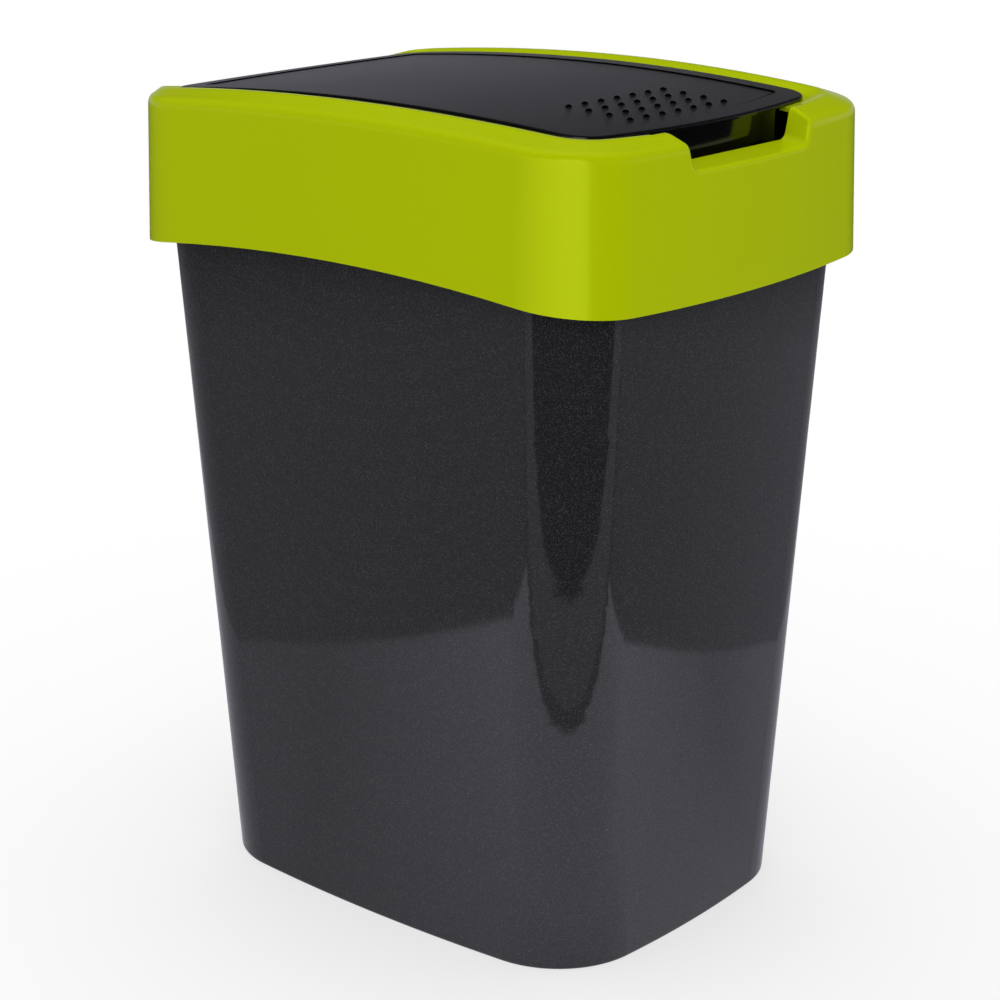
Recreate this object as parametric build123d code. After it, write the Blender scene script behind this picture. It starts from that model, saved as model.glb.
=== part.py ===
from build123d import *
from dataclasses import dataclass
import math
import os

# Kitchen waste bin for a 25 litre bag: a tapered bucket, a lid frame that lifts off it,
# and a flap that is raised by a finger notch at the front and turns on two pins at the rear.
# Millimetres, +Z up, origin on the floor under the middle of the bin.
# X is across the short side and Y is along the long side, with the front of the bin at -Y.

# The sizes that drive the others: half the frame's width and length, and the height of its ridge
frame_half_x = 132.2
frame_half_y = 170.0
ridge_height = 456.9

# Bucket, whose rim stands inside the frame's skirt
ridge_over_rim = 36.9
rim_side_inset = 9.9
rim_end_inset = 8.9
base_side_taper = 12.2
base_end_taper = 18.6
bucket_height = ridge_height - ridge_over_rim
rim_half_x = frame_half_x - rim_side_inset
rim_half_y = frame_half_y - rim_end_inset
rim_side_bow = 1.0
rim_end_bow = 13.0
rim_corner_radius = 34.0
base_half_x = rim_half_x - base_side_taper
base_half_y = rim_half_y - base_end_taper
base_side_bow = 9.7
base_end_bow = 10.1
base_corner_radius = 52.7
bucket_wall = 2.2
foot_width = 4.4
foot_edge_round = 1.5
floor_height = 5.0
floor_thickness = 2.4
floor_corner_round = 7.0
rim_reach = 3.8
rim_lip_depth = 11.0
rim_thickness = 2.4
rim_edge_round = 1.4

# Lid frame: the outer skirt, the shoulder, the ridge and the collar round the mouth
frame_side_bow = 0.6
frame_end_bow = 12.7
frame_front_corner = 44.0
frame_rear_corner = 42.0
frame_wall = 2.4
frame_draft = 0.03
skirt_depth = 80.6
skirt_edge_height = ridge_height - skirt_depth
skirt_edge_crown = 1190.0
ridge_over_shoulder = 6.6
shoulder_height = ridge_height - ridge_over_shoulder
shoulder_crown = 2000.0
shoulder_round = 4.0
crown_radius = 1480.0
ridge_side_inset = 16.9
ridge_front_inset = 13.0
ridge_rear_inset = 6.5
ridge_half_x = frame_half_x - ridge_side_inset
ridge_front = frame_half_y - ridge_front_inset
ridge_rear = frame_half_y - ridge_rear_inset
ridge_side_bow = 8.0
ridge_front_bow = 19.0
ridge_front_corner = 22.0
ridge_rear_bow = 9.6
ridge_rear_corner = 16.0
ridge_round = 3.4
dish_depth = 3.8
shoulder_wall_drop = 1.9
ridge_wall_drop = 2.6
mouth_rear_gap = 3.0
mouth_rear_bow = 7.5
mouth_rear_corner = 9.0
collar_over_rim = 2.6
collar_bottom = bucket_height + collar_over_rim
collar_draft = 0.02
mouth_edge_round = 1.2

# Flap
flap_under_ridge = 1.6
flap_side_inset = 14.3
flap_front_inset = 12.0
flap_rear_inset = 5.0
flap_height = ridge_height - flap_under_ridge
flap_half_x = ridge_half_x - flap_side_inset
flap_front = ridge_front - flap_front_inset
flap_rear = ridge_rear - flap_rear_inset
flap_side_bow = 2.5
flap_front_bow = 11.0
flap_front_corner = 19.0
flap_rear_bow = 7.0
flap_rear_corner = 15.0
flap_thickness = 2.2
flap_edge_round = 1.3
flap_gap = 2.0
field_drop = 0.6
groove_inset = 12.6
groove_width = 1.6
groove_depth = 0.7

# Hinge, with its axis a little in front of the flap's rear edge and under it
axis_inset = 15.5
axis_drop = 15.3
axis_y = flap_rear - axis_inset
axis_height = flap_height - axis_drop
pin_radius = 2.4
pin_clearance = 0.06
hub_radius = 4.4
lug_inset = 14.2
lug_outer_x = flap_half_x - lug_inset
lug_thickness = 2.6
lug_foot_back = 2.4
arm_thickness = 2.6
hinge_side_gap = 0.4
pin_end_gap = 1.4
trough_wall_y = axis_y - 3.8
trough_wall_height = axis_height - 6.0
trough_wall = 2.0
trough_floor = 1.5
hinge_gap_half_x = lug_outer_x - 18.8
hinge_gap_ramp = 32.0
hinge_land_height = axis_height + 3.6

# The wall under the flap, the grip behind the notch, and the ledge that the flap rests on
skirt_inset = 4.6
skirt_wall = 2.0
skirt_depth_under_flap = 26.8
skirt_bottom = flap_height - skirt_depth_under_flap
skirt_rear = axis_y - 9.0
grip_half_width = 60.0
grip_inset = 1.5
grip_back = flap_front - 12.0
grip_corner_round = 3.0
ledge_reach = 5.2
ledge_thickness = 2.4
ledge_rear_end = axis_y - 21.0
rest_gap = 0.3

# Raised grip dots on the flap, in rows along Y
dot_diameter = 4.0
dot_rise = 1.2
dot_root = 0.6
dot_columns = 7
dot_rows = 4
dot_pitch_x = 13.4
dot_pitch_y = 13.1
dot_patch_inset = 45.4
dot_centre_y = dot_patch_inset - flap_front

# Finger notch in the front of the frame
notch_half_width = 49.0
notch_floor_drop = 26.9
notch_floor_outer = ridge_height - notch_floor_drop
notch_floor_slope = 9.0
notch_floor_round = 5.0
notch_side_lean = 15.0
notch_flare = 8.0
notch_edge_round = 2.4
notch_depth = 29.0
relief_half_width = 66.0
relief_front = ridge_front - 5.2

# Ribs under the frame's top that stand on the bucket's rim, in mirrored pairs
seat_gap = 0.3
seat_rib_thickness = 2.0
side_rib_places = (40.0, frame_half_y - 58.0)
front_rib_place = relief_half_width + 8.0
rear_rib_places = (28.0, lug_outer_x - 2.8)

# How far the cutting shapes reach past the material that they cut
margin = 20.0


@dataclass
class Loop:
    """A closed plan outline with bowed sides and round corners, carried up to a height.

    The sides and ends bulge by their bow, and the front and the rear have sizes of their own.
    A crown gives the radius of the arch that the outline follows over the length of the bin.
    """

    half_x: float
    side_bow: float
    front: float
    front_bow: float
    front_corner: float
    rear: float
    rear_bow: float
    rear_corner: float
    height: float
    crown: float = 0.0


def inset(loop, gap, drop=0.0):
    """The same outline, moved inwards all round by a gap and lowered by a drop."""
    return Loop(
        loop.half_x - gap,
        loop.side_bow,
        loop.front - gap,
        loop.front_bow,
        max(loop.front_corner - gap, 0.5),
        loop.rear - gap,
        loop.rear_bow,
        max(loop.rear_corner - gap, 0.5),
        loop.height - drop,
        loop.crown,
    )


def arch_drop(crown, y):
    """How far an arch of this radius has come down from its top at a distance y."""
    if not crown:
        return 0.0
    return crown - math.sqrt(crown**2 - y**2)


def mix(first, second, share):
    """The loop that lies a share of the way from the first to the second.

    The arch is blended through its curvature, so that a flat loop can follow an arched one.
    """
    plain = [
        getattr(first, name) * (1 - share) + getattr(second, name) * share
        for name in list(Loop.__dataclass_fields__)[:-1]
    ]
    bends = [1 / loop.crown if loop.crown else 0.0 for loop in (first, second)]
    bend = bends[0] * (1 - share) + bends[1] * share
    return Loop(*plain, 1 / bend if bend else 0.0)


def toward(loop, target, distance):
    """The loop moved by a distance towards another one, as measured at the middle of the side."""
    span = math.hypot(target.half_x - loop.half_x, target.height - loop.height)
    return mix(loop, target, distance / span)


def corner(half_x, side_bow, half_y, end_bow, radius):
    """The start, middle and end of a corner's arc, from the side towards the end."""
    x = half_x - radius
    y = half_y - radius
    for _ in range(30):
        x = half_x - radius - side_bow * (y / half_y) ** 2
        y = half_y - radius - end_bow * (x / half_x) ** 2
    first = math.atan2(2 * side_bow * y / half_y**2, 1)
    last = math.atan2(1, 2 * end_bow * x / half_x**2)
    turns = (first, (first + last) / 2, last)
    return [(x + radius * math.cos(turn), y + radius * math.sin(turn)) for turn in turns]


def curve(start, middle, end):
    """An arc through three points, or a straight line where they lie on one."""
    rise = (middle - start).cross(end - start).length / (end - start).length
    return Line(start, end).edge() if rise < 0.001 else ThreePointArc(start, middle, end).edge()


def wire(loop):
    """The loop's eight edges: four bowed sides and four corners."""
    rear = corner(loop.half_x, loop.side_bow, loop.rear, loop.rear_bow, loop.rear_corner)
    front = corner(loop.half_x, loop.side_bow, loop.front, loop.front_bow, loop.front_corner)
    plan = [(x, -y) for x, y in reversed(front)]
    plan += [(loop.half_x, 0)] + rear + [(0, loop.rear)]
    plan += [(-x, y) for x, y in reversed(rear)]
    plan += [(-loop.half_x, 0)] + [(-x, -y) for x, y in front] + [(0, -loop.front)]
    points = [Vector(x, y, loop.height - arch_drop(loop.crown, y)) for x, y in plan]
    points.append(points[0])
    return Wire([curve(*points[i : i + 3]) for i in range(0, len(points) - 2, 2)])


def skin(loops, ruled):
    """The faces that run through these loops."""
    return Shell.make_loft([wire(loop) for loop in loops], ruled=ruled).faces()


def ring(section):
    """A closed moulding that goes all round. The section is a list of (loop, edge round)."""
    count = len(section)
    starts = []
    ends = []
    for i, (loop, edge_round) in enumerate(section):
        starts.append(toward(loop, section[i - 1][0], edge_round) if edge_round else loop)
        ends.append(toward(loop, section[(i + 1) % count][0], edge_round) if edge_round else loop)
    faces = []
    for i, (loop, edge_round) in enumerate(section):
        if edge_round:
            crest = mix(mix(starts[i], ends[i], 0.5), loop, 0.5)
            faces += skin([starts[i], crest, ends[i]], ruled=False)
        faces += skin([ends[i], starts[(i + 1) % count]], ruled=True)
    return Solid(Shell(faces))


def plate(loop, low, high):
    """A flat plate of the loop's plan outline between two heights."""
    flat = Loop(*[getattr(loop, name) for name in list(Loop.__dataclass_fields__)[:-2]], low)
    return extrude(Face(wire(flat)), high - low)


def block(x, y, z):
    """A box between two limits along each axis."""
    size = [high - low for low, high in (x, y, z)]
    middle = [(high + low) / 2 for low, high in (x, y, z)]
    return Pos(*middle) * Box(*size)


def under_arch(height, crown, bottom):
    """Everything below an arch that spans the bin, down to a flat bottom."""
    reach = frame_half_y + margin
    low = height - arch_drop(crown, reach)
    top = ThreePointArc((0, -reach, low), (0, 0, height), (0, reach, low))
    sides = Polyline((0, reach, low), (0, reach, bottom), (0, -reach, bottom), (0, -reach, low))
    half = extrude(make_face([top, sides]), frame_half_x + margin, dir=(1, 0, 0))
    return half + mirror(half, Plane.YZ)


def arched_slab(height, crown, thickness):
    """A slab of even depth that follows an arch over the bin."""
    bottom = height - arch_drop(crown, frame_half_y + margin) - thickness - margin
    lower = under_arch(height - thickness, crown, bottom - margin)
    return under_arch(height, crown, bottom) - lower


def symmetric_loop(half_x, side_bow, half_y, end_bow, corner_radius, height):
    """A flat loop whose front and rear are alike."""
    ends = (half_y, end_bow, corner_radius)
    return Loop(half_x, side_bow, *ends, *ends, height)


# Bucket

base_loop = symmetric_loop(
    base_half_x, base_side_bow, base_half_y, base_end_bow, base_corner_radius, 0
)
rim_loop = symmetric_loop(
    rim_half_x, rim_side_bow, rim_half_y, rim_end_bow, rim_corner_radius, bucket_height
)


def bucket_outline(height):
    """The bucket's outer outline at a height."""
    return mix(base_loop, rim_loop, height / bucket_height)


def make_bucket():
    floor_top = floor_height + floor_thickness
    flange_under = bucket_outline(bucket_height - rim_thickness)
    lip_inner = inset(flange_under, rim_thickness - rim_reach)
    lip_outer = inset(flange_under, -rim_reach)
    lip_drop = rim_lip_depth - rim_thickness
    rim_outer = inset(rim_loop, -rim_reach)
    wall = ring(
        [
            (base_loop, foot_edge_round),
            (flange_under, 0),
            (lip_inner, 0),
            (inset(lip_inner, 0, lip_drop), 0),
            (inset(lip_outer, 0, lip_drop), 0),
            (rim_outer, rim_edge_round),
            (inset(rim_loop, bucket_wall), 0),
            (inset(bucket_outline(floor_top), bucket_wall), 0),
            (inset(base_loop, foot_width), 0),
        ]
    )
    floor = plate(inset(bucket_outline(floor_height), bucket_wall / 2), floor_height, floor_top)
    bucket = wall + floor
    near_floor = (floor_top - floor_thickness / 4, floor_top + floor_thickness / 4)
    inner_edges = bucket.edges().filter_by_position(Axis.Z, *near_floor)
    return fillet(inner_edges, floor_corner_round)


# Lid frame

def frame_outline(height, crown, wall):
    """The frame's skirt at a height, seen at a depth into its wall."""
    lean = frame_draft * (height - skirt_edge_height)
    outer = Loop(
        frame_half_x,
        frame_side_bow,
        frame_half_y,
        frame_end_bow,
        frame_front_corner,
        frame_half_y,
        frame_end_bow,
        frame_rear_corner,
        height,
        crown,
    )
    return inset(outer, lean + wall)


def ridge_loop(depth):
    """The crest of the frame's ridge: depth 0 is the outer face of the wall and 1 the inner face."""
    loop = Loop(
        ridge_half_x,
        ridge_side_bow,
        ridge_front,
        ridge_front_bow,
        ridge_front_corner,
        ridge_rear,
        ridge_rear_bow,
        ridge_rear_corner,
        ridge_height,
        crown_radius,
    )
    return inset(loop, 0, ridge_wall_drop * depth)


def mouth_loop(wall, height, crown, draft=0.0):
    """The inner face of the collar, a gap outside the flap's edge, seen at a depth into the wall."""
    loop = Loop(
        flap_half_x + flap_gap,
        flap_side_bow,
        flap_front + flap_gap,
        flap_front_bow,
        flap_front_corner + flap_gap,
        flap_rear + mouth_rear_gap,
        mouth_rear_bow,
        mouth_rear_corner,
        height,
        crown,
    )
    return inset(loop, draft - wall)


def frame_skin(depth, skirt_end, foot):
    """The frame's outer face (depth 0) or inner face (depth 1), from the skirt's end to the collar's foot."""
    wall = frame_wall * depth
    shoulder = frame_outline(shoulder_height, shoulder_crown, wall)
    return [
        frame_outline(skirt_end, skirt_edge_crown, wall),
        inset(shoulder, 0, shoulder_wall_drop * depth),
        ridge_loop(depth),
        mouth_loop(wall, ridge_height - dish_depth - wall, crown_radius),
        mouth_loop(wall, foot, 0, collar_draft * (ridge_height - foot)),
    ]


def frame_body():
    """Skirt, shoulder, ridge and collar as one ring, before the room inside it is taken out."""
    skin_loops = frame_skin(0, skirt_edge_height, collar_bottom)
    rounds = (0, shoulder_round, ridge_round, mouth_edge_round, 0)
    past_wall = 1.5 * frame_wall
    foot = [inset(skin_loops[-1], -past_wall), inset(skin_loops[0], past_wall)]
    return ring(list(zip(skin_loops, rounds)) + [(loop, 0) for loop in foot])


def seat_ribs():
    """The upright ribs that stand on the bucket's rim, as boxes that the frame's room leaves standing."""
    half = seat_rib_thickness / 2
    tall = (bucket_height + seat_gap, ridge_height)
    ribs = []
    for side in (-1, 1):
        for y in side_rib_places:
            ribs.append(block((-frame_half_x, frame_half_x), (side * y - half, side * y + half), tall))
        x = side * front_rib_place
        ribs.append(block((x - half, x + half), (-frame_half_y, 0), tall))
        for place in rear_rib_places:
            x = side * place
            ribs.append(block((x - half, x + half), (0, frame_half_y), tall))
    return ribs


def notch_walls():
    """Boxes that keep the frame solid round the finger notch and the wider mouth behind it."""
    side = notch_half_width + frame_wall
    relief_side = relief_half_width + frame_wall
    tall = (notch_floor_outer - frame_wall, ridge_height)
    return [
        block((-side, side), (-frame_half_y, 0), tall),
        block((-relief_side, relief_side), (-relief_front - frame_wall, 0), tall),
    ]


def hinge_land():
    """The box that keeps the frame solid under the lowered rear edge, behind the hinge."""
    side = hinge_gap_half_x + hinge_gap_ramp
    tall = (hinge_land_height - frame_wall, ridge_height)
    return block((-side, side), (trough_wall_y, frame_half_y), tall)


def make_shell():
    """The frame's walls and ribs: its body less the room inside, which opens downwards."""
    below = skirt_edge_height - margin
    room = ring([(loop, 0) for loop in frame_skin(1, below, below)])
    room -= seat_ribs() + notch_walls() + [hinge_land()]
    return frame_body() - room


def ledge():
    """The step inside the collar that the flap's border rests on, along the sides and the front."""
    top = flap_height - flap_thickness - rest_gap
    bottom = top - ledge_thickness
    root = frame_wall / 2
    step = ring(
        [
            (mouth_loop(root, top, crown_radius), 0),
            (mouth_loop(-ledge_reach, top, crown_radius), 0),
            (mouth_loop(-ledge_reach, bottom, crown_radius), 0),
            (mouth_loop(root, bottom, crown_radius), 0),
        ]
    )
    kept = block(
        (-frame_half_x, frame_half_x), (-frame_half_y, ledge_rear_end), (collar_bottom, ridge_height)
    )
    return step & kept


def notch_profile():
    """The notch seen from the front: a round-bottomed trough whose sides lean out and flare over the ridge."""
    crest = ridge_height - arch_drop(crown_radius, ridge_front) - notch_floor_outer
    brink = notch_half_width + crest * math.tan(math.radians(notch_side_lean))
    beyond = brink + notch_flare + margin
    half = make_face(
        Polyline(
            (0, 0),
            (notch_half_width, 0),
            (brink, crest),
            (beyond, crest),
            (beyond, crest + margin),
            (0, crest + margin),
            close=True,
        )
    )
    profile = half + mirror(half, Plane.YZ)
    floor_corners = profile.vertices().group_by(Axis.Y)[0]
    profile = fillet(floor_corners, notch_floor_round)
    brinks = profile.vertices().filter_by_position(Axis.Y, crest - 0.01, crest + 0.01)
    return fillet(brinks.filter_by(lambda vertex: abs(vertex.X) < beyond - margin / 2), notch_flare)


def notch_cut():
    """The room for the fingers, whose floor falls towards the front."""
    trough = extrude(Plane.XZ * notch_profile(), notch_depth + margin)
    wall_face = frame_half_y - frame_draft * (notch_floor_outer - skirt_edge_height)
    tilt = Rot(X=notch_floor_slope)
    return Pos(0, -wall_face, notch_floor_outer) * tilt * Pos(0, notch_depth, 0) * trough


def make_notch(frame):
    """Cuts the finger notch, and widens the mouth behind it so that the fingers find the flap's edge."""
    wide = (-relief_half_width, relief_half_width)
    relief = block(wide, (-relief_front, -grip_back), (collar_bottom - margin, ridge_height))
    return frame - notch_cut() - relief


def make_hinge_seat(frame):
    """Adds the trough behind the mouth, lowers the rear edge and stands two lugs in the trough."""
    root = mouth_loop(frame_wall / 2, collar_bottom, 0)
    across = (-root.half_x, root.half_x)
    span = plate(root, collar_bottom, trough_wall_height)
    floor_top = collar_bottom + trough_floor
    frame += span & block(across, (trough_wall_y, frame_half_y), (collar_bottom, floor_top))
    wall_back = trough_wall_y + trough_wall
    frame += span & block(across, (trough_wall_y, wall_back), (collar_bottom, trough_wall_height))
    frame -= rear_gap()
    for side in (-1, 1):
        frame += Pos(side * (lug_outer_x - lug_thickness / 2)) * hinge_lug()
    return frame


def rear_gap():
    """The low stretch of the rear edge, with ramps at its ends, that gives the open flap its room."""
    top = ridge_height + margin
    crest = ridge_height - arch_drop(crown_radius, ridge_rear)
    ramp_end = hinge_gap_half_x + hinge_gap_ramp * (top - hinge_land_height) / (crest - hinge_land_height)
    low_corner = (hinge_gap_half_x, hinge_land_height)
    half = make_face(
        Polyline((0, hinge_land_height), low_corner, (ramp_end, top), (0, top), close=True)
    )
    profile = Plane.XZ * (half + mirror(half, Plane.YZ))
    return Pos(0, frame_half_y + margin, 0) * extrude(profile, frame_half_y + margin - axis_y)


def hinge_lug():
    """An upright plate with the pin's bore, narrowed at its foot to leave the open flap its room."""
    foot = collar_bottom + trough_floor / 2
    front = axis_y - hub_radius
    back = axis_y + hub_radius
    foot_back = axis_y + lug_foot_back
    side = make_face(
        Polyline((front, foot), (foot_back, foot), (back, axis_height), (front, axis_height), close=True)
    )
    side += Pos(axis_y, axis_height) * Circle(hub_radius)
    side -= Pos(axis_y, axis_height) * Circle(pin_radius + pin_clearance)
    return extrude(Plane.YZ * side, lug_thickness / 2, both=True)


def round_notch(frame):
    """Rounds the edges where the notch comes out through the skirt, below its flared brinks."""
    skirt_face = 5.5 - frame_half_y
    low = notch_floor_outer - notch_edge_round
    high = notch_floor_outer + 2 * notch_floor_round
    edges = frame.edges().filter_by_position(Axis.Y, -frame_half_y, skirt_face)
    edges = edges.filter_by_position(Axis.Z, low, high)
    side = notch_half_width + notch_floor_round
    return fillet(edges.filter_by_position(Axis.X, -side, side), notch_edge_round)


def make_frame():
    frame = make_hinge_seat(make_notch(make_shell() + ledge()))
    return round_notch(frame)


# Flap

def flap_loop(gap=0.0):
    loop = Loop(
        flap_half_x,
        flap_side_bow,
        flap_front,
        flap_front_bow,
        flap_front_corner,
        flap_rear,
        flap_rear_bow,
        flap_rear_corner,
        0,
    )
    return inset(loop, gap)


def make_panel():
    """The arched panel with a rounded edge, a groove that follows it and a lower field inside."""
    low = skirt_bottom
    high = ridge_height + margin
    panel = plate(flap_loop(), low, high) & arched_slab(flap_height, crown_radius, flap_thickness)
    upper = panel.edges().group_by(lambda edge: round(top_gap(edge), 1))[0]
    panel = fillet(upper, flap_edge_round)
    above = flap_height + margin
    field = plate(flap_loop(groove_inset), low, high)
    groove = field - plate(flap_loop(groove_inset + groove_width), low, high)
    panel -= field & arched_slab(above, crown_radius, margin + field_drop)
    return panel - (groove & arched_slab(above, crown_radius, margin + field_drop + groove_depth))


def top_gap(edge):
    """How far the middle of an edge lies under the flap's top surface."""
    middle = edge.position_at(0.5)
    return flap_height - arch_drop(crown_radius, middle.Y) - middle.Z


def make_skirt():
    """The wall under the panel that closes the gap to the collar and stiffens the flap."""
    low = skirt_bottom
    high = ridge_height
    outer = plate(flap_loop(skirt_inset), low, high)
    inner = plate(flap_loop(skirt_inset + skirt_wall), low, high)
    front = block((-frame_half_x, frame_half_x), (-frame_half_y, skirt_rear), (low, high))
    rear_wall = outer & block(
        (-frame_half_x, frame_half_x), (skirt_rear - skirt_wall, skirt_rear), (low, high)
    )
    walls = ((outer & front) - inner) + rear_wall + grip_wall()
    return walls & under_arch(flap_height - flap_thickness / 2, crown_radius, low)


def grip_wall():
    """The wall that stands forward of the skirt behind the notch, for the fingers to pull on."""
    reach = (-frame_half_y, -grip_back)
    high = ridge_height
    outer = plate(flap_loop(grip_inset), skirt_bottom, high)
    outer &= block((-grip_half_width, grip_half_width), reach, (skirt_bottom, high))
    outer = fillet(outer.edges().filter_by(Axis.Z).group_by(Axis.Y)[0], grip_corner_round)
    inner_side = grip_half_width - skirt_wall
    inner = plate(flap_loop(grip_inset + skirt_wall), skirt_bottom, high)
    return outer - (inner & block((-inner_side, inner_side), reach, (skirt_bottom, high)))


def grip_dot():
    """One raised dot, a dome whose root is sunk into the panel.

    The turn keeps the dome's seam away from the directions of the panel's arch.
    """
    radius = ((dot_diameter / 2) ** 2 + dot_rise**2) / (2 * dot_rise)
    lowest = math.degrees(math.asin((radius - dot_rise - dot_root) / radius))
    base = (Align.CENTER, Align.CENTER, Align.MIN)
    return Pos(0, 0, -dot_root) * Rot(Z=45) * Sphere(radius, lowest, 90, align=base)


def grip_dots():
    dots = []
    for column in range(dot_columns):
        for row in range(dot_rows):
            x = (column - (dot_columns - 1) / 2) * dot_pitch_x
            y = dot_centre_y + (row - (dot_rows - 1) / 2) * dot_pitch_y
            surface = flap_height - field_drop - arch_drop(crown_radius, y)
            dots.append(Pos(x, y, surface) * grip_dot())
    return dots


def hinge_arm():
    """A plate under the panel that carries a pin on the hinge axis, for the +X side."""
    outer_x = lug_outer_x - lug_thickness - hinge_side_gap
    root = flap_height - arch_drop(crown_radius, axis_y) - flap_thickness / 2
    side = Pos(axis_y, axis_height) * Circle(hub_radius)
    side += Pos(axis_y, (axis_height + root) / 2) * Rectangle(2 * hub_radius, root - axis_height)
    arm = Pos(outer_x - arm_thickness) * extrude(Plane.YZ * side, arm_thickness)
    pin_length = arm_thickness + hinge_side_gap + lug_thickness + pin_end_gap
    pin = Plane.YZ * Pos(axis_y, axis_height) * Circle(pin_radius)
    return arm + Pos(outer_x - arm_thickness) * extrude(pin, pin_length)


def make_flap():
    flap = make_panel() + make_skirt() + grip_dots()
    arm = hinge_arm()
    return flap + arm + mirror(arm, Plane.YZ)


os.makedirs("parts", exist_ok=True)
export_step(make_bucket(), "parts/bucket.step")
export_step(make_frame(), "parts/lid_frame.step")
export_step(make_flap(), "parts/flap.step")
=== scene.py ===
"""Looks of the kitchen waste bin: flaked anthracite bucket, lime green lid frame and dark textured flap."""

import math

import bpy
from mathutils import Matrix, Vector


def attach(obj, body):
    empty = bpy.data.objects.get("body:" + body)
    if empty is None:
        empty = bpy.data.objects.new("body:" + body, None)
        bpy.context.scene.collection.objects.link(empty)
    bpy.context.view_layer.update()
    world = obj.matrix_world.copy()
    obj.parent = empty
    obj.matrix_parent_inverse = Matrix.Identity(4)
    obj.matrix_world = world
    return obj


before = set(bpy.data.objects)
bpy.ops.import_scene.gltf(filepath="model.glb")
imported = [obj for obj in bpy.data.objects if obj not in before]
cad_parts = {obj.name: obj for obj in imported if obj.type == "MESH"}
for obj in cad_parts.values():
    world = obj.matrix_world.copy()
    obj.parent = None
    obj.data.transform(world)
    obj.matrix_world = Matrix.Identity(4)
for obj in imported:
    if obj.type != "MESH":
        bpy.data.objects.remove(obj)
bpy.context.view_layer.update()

MM = 0.001

# The photograph's camera, found from the bin's own edges
camera_place = Vector((-1.0159, -0.8604, 0.6388))
camera_azimuth = math.radians(-49.75)
camera_elevation = math.radians(17.58)
camera_lens = 88.47
camera_sensor = 36.0

# The bin's sizes that the looks need, in millimetres as in the part's source
bin_middle_height = 250.0
flap_height = 455.3
flap_crown_radius = 1480.0
flap_field_drop = 0.6
dot_field_half_width = 46.0
dot_field_front = -126.0
dot_field_rear = -74.0
dot_foot_height = 0.14

# The cheek that closes each side of the finger notch, where its lean runs past the frame's wall:
# the corners of the leaning face, how far it lies under the wall's own face, and how thick it is
cheek_corners = ((51.3, -164.3, 438.9), (52.1, -163.9, 442.6), (52.7, -153.6, 446.3), (51.2, -153.4, 440.4))
cheek_recess = 0.1
cheek_thickness = 1.3

# The floor is white to the camera, with a light shadow that fades away from the bin
floor_half_size = 6.0
shadow_near = 0.15
shadow_far = 0.7
shadow_lightening = 0.6

# The floor paints, for glossy rays alone and as a glow that lights nothing, the reflection of the studio's
# table top:
# white paper that ends at three straight edges, a grey step in front of it, the dark of the room beyond that,
# and grey at the sides
table_front_way = math.radians(226)
paper_brightens_from = 0.04
paper_brightens_to = 0.20
table_front_edge = 0.40
table_side_edge = 0.465
step_rim_edge = 0.43
dark_edge = 0.58
edge_softness = 0.004
paper_front_tone = 1.0
paper_side_tone = 0.50
side_room_tone = 0.32
step_rim_tone = 0.22
step_tone = 0.46
dark_tone = 0.03
room_near = 1.2
room_far = 1.9

# The backdrop that a gloss sees behind the bin fades upwards into the dark of the studio
backdrop_tone = 0.40
ceiling_tone = 0.0
backdrop_low = 0.08
backdrop_high = 0.34

# A glowing screen that is no lamp and lights nothing: gloss alone sees it, so it paints the highlight on the
# lid's near corner
screen_radius = 1.3
screen_height = 0.9
screen_start = math.radians(150)
screen_end = math.radians(241)
screen_full = math.radians(215)
screen_tone = 2.6

# The light: the room's own, a softbox above the bin and one over the camera, with their powers in watts
room_light = 0.74
top_place = (0.2, 0.3, 2.2)
top_width = 1.6
top_depth = 1.6
top_power = 14.0
front_place = (-1.75, -1.6, 1.5)
front_width = 1.4
front_height = 1.0
front_power = 12.0

# The paper, the white of what shines or stays unshaded, and the cool white that a gloss sees
paper_white = "#f4f4f4"
plain_white = "#ffffff"
cool_white = "#f1f1ff"


def linear(hex_colour):
    """The linear light of an sRGB colour such as #a2b210, with alpha 1."""
    channels = [int(hex_colour[start:start + 2], 16) / 255 for start in (1, 3, 5)]
    curved = [c / 12.92 if c <= 0.04045 else ((c + 0.055) / 1.055) ** 2.4 for c in channels]
    return (*curved, 1.0)


def add_node(tree, kind, inputs=None, **settings):
    """Adds a shader node, makes its settings, and fills its inputs with numbers, colours or links."""
    node = tree.nodes.new("ShaderNode" + kind)
    for name, value in settings.items():
        setattr(node, name, value)
    for name, value in (inputs or {}).items():
        if isinstance(value, bpy.types.NodeSocket):
            tree.links.new(value, node.inputs[name])
        else:
            node.inputs[name].default_value = value
    return node


def new_material(name):
    """An empty node material and its tree."""
    material = bpy.data.materials.new(name)
    material.use_nodes = True
    material.node_tree.nodes.clear()
    return material, material.node_tree


def dress(node_name, material):
    """Gives a node of the part its only material."""
    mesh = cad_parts[node_name].data
    mesh.materials.clear()
    mesh.materials.append(material)


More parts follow.
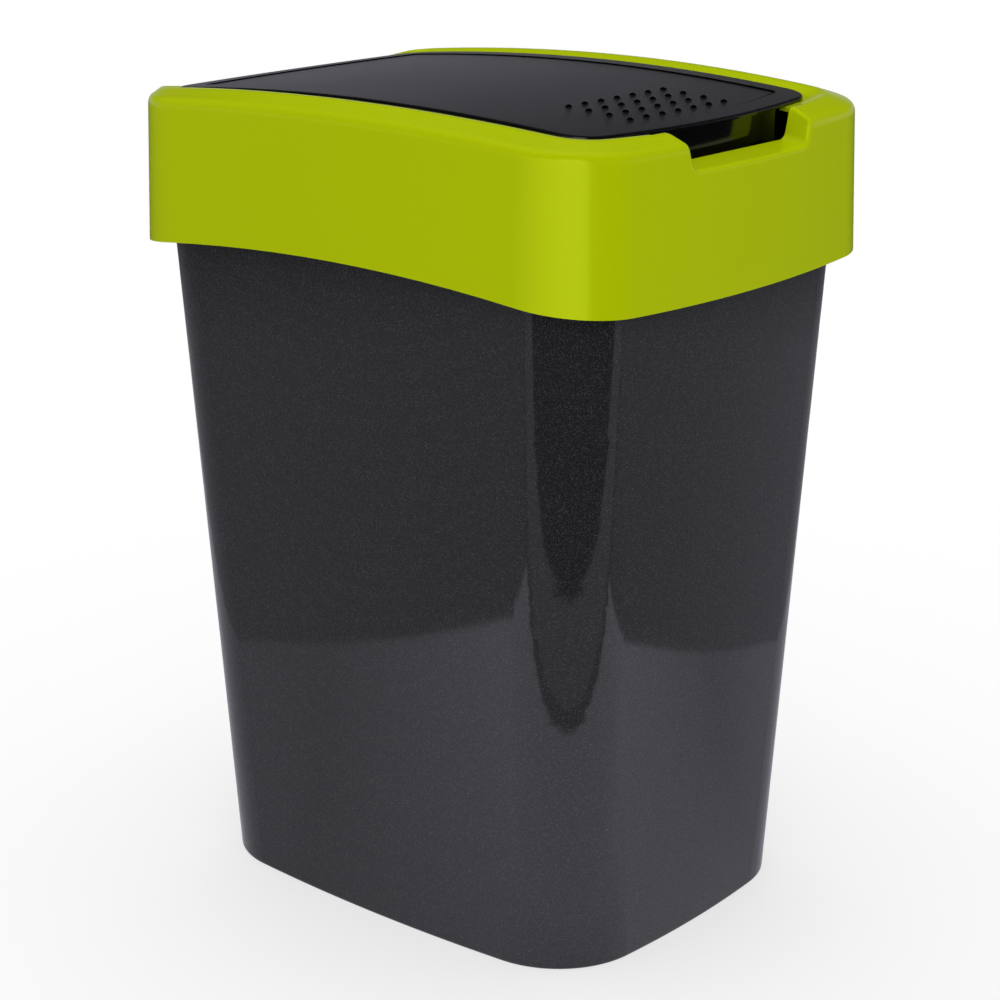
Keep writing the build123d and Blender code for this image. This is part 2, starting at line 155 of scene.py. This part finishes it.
def flaked_polypropylene():
    """Injection moulded polypropylene with a fine aluminium flake, from a polished mould.

    The eye gets a nearly black, cool ground with pin-prick sparkle, and a clear but slightly wavy gloss.
    """
    material, tree = new_material("flaked_polypropylene")
    place = add_node(tree, "TexCoord").outputs["Object"]

    # The real flakes are about 0.1 mm across, and are drawn at 0.4 mm so that they show.
    # Two in five show, most of them deep and dim, and a few near the surface are bright
    flake_size = 0.4 * MM
    hidden_share = 0.6
    dimming = 3.0
    flakes = add_node(tree, "TexVoronoi", {"Vector": place, "Scale": 1 / flake_size})
    flake_tone = add_node(tree, "SeparateColor", {"Color": flakes.outputs["Color"]}).outputs["Red"]
    flake_rise = add_node(
        tree, "MapRange", {"Value": flake_tone, "From Min": hidden_share, "From Max": 1.0}
    ).outputs["Result"]
    flake_share = add_node(tree, "Math", {0: flake_rise, 1: dimming}, operation="POWER").outputs[0]
    colour = add_node(
        tree, "Mix",
        {"Factor": flake_share, "A": linear("#1e1e20"), "B": linear("#424247")},
        data_type="RGBA",
    )

    # Sink and flow of a large thin wall, about 90 mm from crest to crest
    wave_length = 90 * MM
    wave_height = 0.15 * MM
    waves = add_node(
        tree, "TexNoise", {"Vector": place, "Scale": 1 / wave_length, "Detail": 3.0, "Roughness": 0.35}
    )
    wavy = add_node(
        tree, "Bump", {"Height": waves.outputs["Fac"], "Strength": 1.0, "Distance": wave_height}
    )

    plastic = add_node(tree, "BsdfPrincipled", {
        "Base Color": colour.outputs["Result"],
        "Roughness": 0.06,
        "IOR": 1.49,
        "Normal": wavy.outputs["Normal"],
    })
    add_node(tree, "OutputMaterial", {"Surface": plastic.outputs["BSDF"]})
    return material


def lime_polypropylene():
    """Injection moulded lime green polypropylene, from a polished mould.

    The eye gets a strong even yellow-green with a soft gloss along the rounded edges.
    """
    material, tree = new_material("lime_polypropylene")
    place = add_node(tree, "TexCoord").outputs["Object"]

    # Flow of the moulding, about 70 mm from crest to crest
    wave_length = 70 * MM
    wave_height = 0.2 * MM
    waves = add_node(tree, "TexNoise", {"Vector": place, "Scale": 1 / wave_length, "Detail": 1.0})
    wavy = add_node(
        tree, "Bump", {"Height": waves.outputs["Fac"], "Strength": 1.0, "Distance": wave_height}
    )

    plastic = add_node(tree, "BsdfPrincipled", {
        "Base Color": linear("#a9ba00"),
        "Roughness": 0.2,
        "IOR": 1.49,
        "Specular Tint": linear("#f0ff50"),
        "Normal": wavy.outputs["Normal"],
    })
    add_node(tree, "OutputMaterial", {"Surface": plastic.outputs["BSDF"]})
    return material


def flap_field_level(tree, along):
    """The height of the flap's arched field, in metres, at a place along the bin's length."""
    radius = flap_crown_radius * MM
    square = add_node(tree, "Math", {0: along, 1: along}, operation="MULTIPLY").outputs[0]
    under_root = add_node(tree, "Math", {0: radius ** 2, 1: square}, operation="SUBTRACT").outputs[0]
    reach = add_node(tree, "Math", {0: under_root}, operation="SQRT").outputs[0]
    centre_height = (flap_height - flap_field_drop) * MM - radius
    return add_node(tree, "Math", {0: reach, 1: centre_height}, operation="ADD").outputs[0]


def grip_dots(tree, place):
    """1 on the flap's dots, which are what stands above its field within their own patch, and 0 off them."""
    along = add_node(tree, "SeparateXYZ", {"Vector": place})
    field_level = flap_field_level(tree, along.outputs["Y"])
    above = add_node(
        tree, "Math", {0: along.outputs["Z"], 1: field_level}, operation="SUBTRACT"
    ).outputs[0]
    across = add_node(tree, "Math", {0: along.outputs["X"]}, operation="ABSOLUTE").outputs[0]
    tests = (
        (above, dot_foot_height, "GREATER_THAN"),
        (across, dot_field_half_width, "LESS_THAN"),
        (along.outputs["Y"], dot_field_front, "GREATER_THAN"),
        (along.outputs["Y"], dot_field_rear, "LESS_THAN"),
    )
    dots = 1.0
    for measure, limit, test in tests:
        passed = add_node(tree, "Math", {0: measure, 1: limit * MM}, operation=test).outputs[0]
        dots = add_node(tree, "Math", {0: dots, 1: passed}, operation="MULTIPLY").outputs[0]
    return dots


def textured_polypropylene():
    """Injection moulded near-black polypropylene, spark-eroded on top, polished on the dots and below.

    The eye gets a matte charcoal field that pales at a glancing angle, set off by glossy black dots.
    """
    material, tree = new_material("textured_polypropylene")
    coordinates = add_node(tree, "TexCoord")
    place = coordinates.outputs["Object"]
    facing = add_node(tree, "SeparateXYZ", {"Vector": coordinates.outputs["Normal"]})

    # The texture is on the top alone: walls and underside leave the mould polished
    wall_rise = 0.35
    top_rise = 0.75
    walls = add_node(tree, "MapRange", {
        "Value": facing.outputs["Z"],
        "From Min": wall_rise,
        "From Max": top_rise,
        "To Min": 1.0,
        "To Max": 0.0,
    }).outputs["Result"]
    polished = add_node(
        tree, "Math", {0: grip_dots(tree, place), 1: walls}, operation="MAXIMUM"
    ).outputs[0]

    # Spark-eroded pits are about 0.15 mm across, and are drawn at 0.6 mm so that they show
    pit_size = 0.6 * MM
    deepest = 0.09 * MM
    pits = add_node(tree, "TexNoise", {"Vector": place, "Scale": 1 / pit_size, "Detail": 2.0})
    pit_depth = add_node(
        tree, "MapRange", {"Value": polished, "To Min": deepest, "To Max": 0.0}
    ).outputs["Result"]
    # The wide thin panel has sunk a little between its borders as it cooled, about 110 mm from crest to crest
    wave_length = 110 * MM
    wave_height = 0.8 * MM
    waves = add_node(tree, "TexNoise", {"Vector": place, "Scale": 1 / wave_length, "Detail": 1.0})
    wavy = add_node(
        tree, "Bump", {"Height": waves.outputs["Fac"], "Strength": 1.0, "Distance": wave_height}
    )
    pitted = add_node(tree, "Bump", {
        "Height": pits.outputs["Fac"],
        "Strength": 1.0,
        "Distance": pit_depth,
        "Normal": wavy.outputs["Normal"],
    })
    colour = add_node(
        tree, "Mix",
        {"Factor": polished, "A": linear("#151517"), "B": linear("#020203")},
        data_type="RGBA",
    )
    roughness = add_node(
        tree, "MapRange", {"Value": polished, "To Min": 0.3, "To Max": 0.1}
    ).outputs["Result"]

    plastic = add_node(tree, "BsdfPrincipled", {
        "Base Color": colour.outputs["Result"],
        "Roughness": roughness,
        "IOR": 1.49,
        "Normal": pitted.outputs["Normal"],
    })
    add_node(tree, "OutputMaterial", {"Surface": plastic.outputs["BSDF"]})
    return material


def close_notch_side(side, material):
    """One cheek of the finger notch, flush with its leaning side. side is 1 for +X and -1 for -X."""
    rows = (cheek_recess, cheek_recess + cheek_thickness)
    points = [
        (side * (x + depth) * MM, y * MM, z * MM)
        for depth in rows
        for x, y, z in cheek_corners
    ]
    count = len(cheek_corners)
    front = tuple(range(count))
    back = tuple(reversed(range(count, 2 * count)))
    rims = [
        (start, start + count, (start + 1) % count + count, (start + 1) % count)
        for start in range(count)
    ]
    mesh = bpy.data.meshes.new("notch_cheek")
    mesh.from_pydata(points, [], [front, back] + rims)
    mesh.materials.append(material)
    cheek = bpy.data.objects.new("notch_cheek_right" if side > 0 else "notch_cheek_left", mesh)
    bpy.context.collection.objects.link(cheek)
    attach(cheek, "lid_frame")


def past_edge(tree, distance, edge):
    """0 before a straight edge of the table and 1 past it, with a thin soft seam between."""
    return add_node(tree, "MapRange", {
        "Value": distance,
        "From Min": edge - edge_softness,
        "From Max": edge + edge_softness,
    }).outputs["Result"]


def blend_tones(tree, share, first, second):
    """A tone between two others, each a number or a link."""
    return add_node(tree, "Mix", {"Factor": share, "A": first, "B": second}).outputs["Result"]


def painted_table_reflection(tree, place):
    """The painted reflection of the studio's table and floor: how bright they look to a gloss, at each place.
    """
    front_way = (math.cos(table_front_way), math.sin(table_front_way), 0.0)
    side_way = (-math.sin(table_front_way), math.cos(table_front_way), 0.0)
    forward = add_node(
        tree, "VectorMath", {0: place, 1: front_way}, operation="DOT_PRODUCT"
    ).outputs["Value"]
    sideways = add_node(
        tree, "VectorMath", {0: place, 1: side_way}, operation="DOT_PRODUCT"
    ).outputs["Value"]
    outwards = add_node(tree, "Math", {0: sideways}, operation="ABSOLUTE").outputs[0]
    frontness = add_node(tree, "MapRange", {
        "Value": forward,
        "From Min": paper_brightens_from,
        "From Max": paper_brightens_to,
    }).outputs["Result"]
    paper = blend_tones(tree, frontness, paper_side_tone, paper_front_tone)
    with_sides = blend_tones(tree, past_edge(tree, outwards, table_side_edge), paper, side_room_tone)
    rim = blend_tones(tree, past_edge(tree, forward, table_front_edge), with_sides, step_rim_tone)
    step = blend_tones(tree, past_edge(tree, forward, step_rim_edge), rim, step_tone)
    table = blend_tones(tree, past_edge(tree, forward, dark_edge), step, dark_tone)
    reach = add_node(tree, "VectorMath", {0: place}, operation="LENGTH").outputs["Value"]
    darkness = add_node(tree, "MapRange", {
        "Value": reach,
        "From Min": room_near,
        "From Max": room_far,
    }).outputs["Result"]
    return blend_tones(tree, darkness, table, dark_tone)


def paper_floor():
    """White paper that takes the bin's shadow and fades into the white background, and glows for glossy rays
    alone with a painted reflection of the studio's table.
    """
    material, tree = new_material("white_paper")
    place = add_node(tree, "TexCoord").outputs["Object"]
    rays = add_node(tree, "LightPath")
    # A painted reflection: for glossy rays alone the floor glows with the table's tones, though it is no lamp
    painted_reflection = add_node(
        tree, "Emission", {"Color": linear(cool_white), "Strength": painted_table_reflection(tree, place)}
    )

    # The camera sees paper with a light shadow, which fades into white away from the bin
    reach = add_node(tree, "VectorMath", {0: place}, operation="LENGTH").outputs["Value"]
    fade = add_node(tree, "MapRange", {
        "Value": reach,
        "From Min": shadow_near,
        "From Max": shadow_far,
        "To Min": shadow_lightening,
        "To Max": 1.0,
    }).outputs["Result"]
    lightened = add_node(
        tree, "Math", {0: rays.outputs["Is Camera Ray"], 1: fade}, operation="MULTIPLY"
    ).outputs[0]
    paper = add_node(tree, "BsdfDiffuse", {"Color": linear(paper_white)})
    white = add_node(tree, "Emission", {"Color": linear(plain_white), "Strength": 1.0})
    shown = add_node(tree, "MixShader", {0: lightened, 1: paper.outputs[0], 2: white.outputs[0]})
    mixed = add_node(
        tree, "MixShader", {0: rays.outputs["Is Glossy Ray"], 1: shown.outputs[0], 2: painted_reflection.outputs[0]}
    )
    add_node(tree, "OutputMaterial", {"Surface": mixed.outputs[0]})
    return material


def stand_highlight_screen():
    """A bent glowing screen beside the camera that lights nothing and only a gloss sees: a painted highlight
    on the lid's near corner.
    """
    steps = 24
    rows = (0.0, screen_height)
    turns = [screen_start + (screen_end - screen_start) * step / steps for step in range(steps + 1)]
    points = [
        (screen_radius * math.cos(turn), screen_radius * math.sin(turn), height)
        for turn in turns
        for height in rows
    ]
    panels = [(2 * step, 2 * step + 1, 2 * step + 3, 2 * step + 2) for step in range(steps)]
    mesh = bpy.data.meshes.new("screen")
    mesh.from_pydata(points, [], panels)
    material, tree = new_material("painted_highlight_screen")

    # The painted highlight is dark at the screen's start and grows to its full brightness before its end
    end_way = (math.cos(screen_end), math.sin(screen_end), 0.0)
    place = add_node(tree, "TexCoord").outputs["Object"]
    nearness = add_node(
        tree, "VectorMath", {0: place, 1: end_way}, operation="DOT_PRODUCT"
    ).outputs["Value"]
    brightness = add_node(tree, "MapRange", {
        "Value": nearness,
        "From Min": screen_radius * math.cos(screen_end - screen_start),
        "From Max": screen_radius * math.cos(screen_end - screen_full),
        "To Max": screen_tone,
    }).outputs["Result"]
    painted_highlight_glow = add_node(tree, "Emission", {"Color": linear(plain_white), "Strength": brightness})
    add_node(tree, "OutputMaterial", {"Surface": painted_highlight_glow.outputs[0]})
    mesh.materials.append(material)
    # Hidden from camera, diffuse and shadow rays, so this glow only paints a highlight in the gloss
    screen = bpy.data.objects.new("screen", mesh)
    bpy.context.collection.objects.link(screen)
    screen.visible_camera = False
    screen.visible_diffuse = False
    screen.visible_shadow = False


def lay_floor():
    """A wide white floor, which keeps the bin's shadow."""
    bpy.ops.mesh.primitive_plane_add(size=2 * floor_half_size)
    floor = bpy.context.object
    floor.name = "floor"
    floor.data.materials.append(paper_floor())


def hang_softbox(name, place, width, height, power, in_gloss):
    """A large soft lamp that looks at the bin, and is seen in its gloss or not."""
    lamp = bpy.data.lights.new(name, "AREA")
    lamp.shape = "RECTANGLE"
    lamp.size = width
    lamp.size_y = height
    lamp.energy = power
    softbox = bpy.data.objects.new(name, lamp)
    bpy.context.collection.objects.link(softbox)
    softbox.location = place
    softbox.visible_glossy = in_gloss
    aim = Vector((0.0, 0.0, bin_middle_height * MM)) - Vector(place)
    softbox.rotation_euler = aim.to_track_quat("-Z", "Y").to_euler()


def light_room():
    """A pale room, white to the camera, with a softbox above and one over the camera."""
    world = bpy.data.worlds.new("room")
    bpy.context.scene.world = world
    world.use_nodes = True
    tree = world.node_tree
    tree.nodes.clear()
    rays = add_node(tree, "LightPath")
    way = add_node(tree, "TexCoord").outputs["Generated"]
    rise = add_node(tree, "SeparateXYZ", {"Vector": way}).outputs["Z"]
    fade = {
        "Value": rise,
        "From Min": backdrop_low,
        "From Max": backdrop_high,
        "To Min": backdrop_tone,
        "To Max": ceiling_tone,
    }
    gloss_tone = add_node(tree, "MapRange", fade, interpolation_type="SMOOTHSTEP").outputs["Result"]
    unseen = add_node(
        tree, "Mix", {"Factor": rays.outputs["Is Glossy Ray"], "A": room_light, "B": gloss_tone}
    ).outputs["Result"]
    tone = add_node(
        tree, "Mix", {"Factor": rays.outputs["Is Camera Ray"], "A": unseen, "B": 1.0}
    ).outputs["Result"]
    colour = add_node(
        tree, "Mix",
        {"Factor": rays.outputs["Is Glossy Ray"], "A": linear(plain_white), "B": linear(cool_white)},
        data_type="RGBA",
    )
    sky = add_node(tree, "Background", {"Color": colour.outputs["Result"], "Strength": tone})
    add_node(tree, "OutputWorld", {"Surface": sky.outputs[0]})
    hang_softbox("softbox_top", top_place, top_width, top_depth, top_power, in_gloss=False)
    hang_softbox(
        "softbox_over_camera", front_place, front_width, front_height, front_power, in_gloss=True
    )


def place_camera():
    """Sets the camera at the photograph's view."""
    lens = bpy.data.cameras.new("photo_camera")
    lens.lens = camera_lens
    lens.sensor_width = camera_sensor
    camera = bpy.data.objects.new("photo_camera", lens)
    bpy.context.collection.objects.link(camera)
    towards = Vector((
        -math.sin(camera_azimuth) * math.cos(camera_elevation),
        math.cos(camera_azimuth) * math.cos(camera_elevation),
        -math.sin(camera_elevation),
    ))
    turn = towards.to_track_quat("-Z", "Y").to_matrix().to_4x4()
    camera.matrix_world = Matrix.Translation(camera_place) @ turn
    bpy.context.scene.camera = camera


dress("bucket", flaked_polypropylene())
lime = lime_polypropylene()
dress("lid_frame", lime)
dress("flap", textured_polypropylene())
for side in (-1, 1):
    close_notch_side(side, lime)
lay_floor()
stand_highlight_screen()
light_room()
place_camera()
bpy.context.scene.view_settings.view_transform = "Standard"
